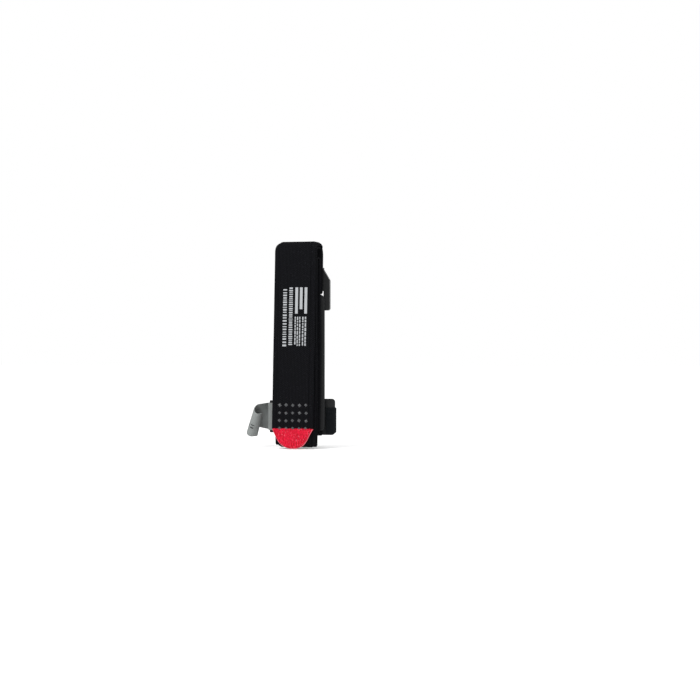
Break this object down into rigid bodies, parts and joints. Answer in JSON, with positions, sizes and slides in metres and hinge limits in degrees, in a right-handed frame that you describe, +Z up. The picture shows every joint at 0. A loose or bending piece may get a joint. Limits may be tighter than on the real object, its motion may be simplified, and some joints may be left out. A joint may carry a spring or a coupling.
{
  "type": "windlass tourniquet",
  "caption": "Folded windlass tourniquet: sleeved webbing band on a buckle, twisting rod on a pull band, locking clip, grey time strap and red pull tip.",
  "frame": {"origin": "middle of the folded band at mid height, where a carrier's elastic loop grips the pack", "axes": "+Z up the folded pack, -Y out of its labelled front, +X to the right of someone facing that front"},
  "size_m": [0.083, 0.049, 0.1876],
  "materials": {
    "band_webbing": "napped black webbing with woven selvedges",
    "pull_webbing": "plain woven black tape",
    "moulded_plastic": "fine moulded grain",
    "rod_plastic": "moulded, slightly satin",
    "strap_webbing": "light grey napped tape for writing on",
    "hook_tape": "short stiff hook pile",
    "tip_webbing": "crimson looped pile",
    "sewing_thread": "bonded thread"
  },
  "bodies": {
    "folded_pack": {"band_sleeve": "band_webbing", "inner_band_run": "pull_webbing", "inner_band_buckle_end": "pull_webbing", "stabiliser_plate": "moulded_plastic", "windlass_clip": "moulded_plastic", "clip_hook_patch": "hook_tape", "buckle": "moulded_plastic", "buckle_end_stitching": "sewing_thread", "window_stitching": "sewing_thread", "time_strap_anchor": "strap_webbing"},
    "tail": {"tail_panel": "band_webbing", "tail_inner_band": "pull_webbing", "red_tip": "tip_webbing"},
    "pull_loop": {"inner_band_loop": "pull_webbing"},
    "windlass": {"windlass_rod": "rod_plastic"},
    "strap": {"time_strap": "strap_webbing"}
  },
  "joints": [
    {"name": "tail_peel", "type": "hinge", "parent": "folded_pack", "child": "tail", "pos_m": [0, -0.01005, 0.0778], "axis": [-1, 0, 0], "range_deg": [0, 160]},
    {"name": "windlass_seat", "type": "slide", "parent": "folded_pack", "child": "pull_loop", "axis": [0, -1, 0], "range_m": [0, 0.0141], "deforming": ["inner_band_loop"]},
    {"name": "windlass_turn", "type": "hinge", "parent": "pull_loop", "child": "windlass", "pos_m": [0, 0.0335, -0.0136], "axis": [0, 1, 0], "continuous": true, "deforming": ["inner_band_loop"]},
    {"name": "time_strap_swing", "type": "hinge", "parent": "folded_pack", "child": "strap", "pos_m": [-0.0329, 0.0192, -0.0656], "axis": [0, 0, -1], "range_deg": [-10, 150]}
  ]
}
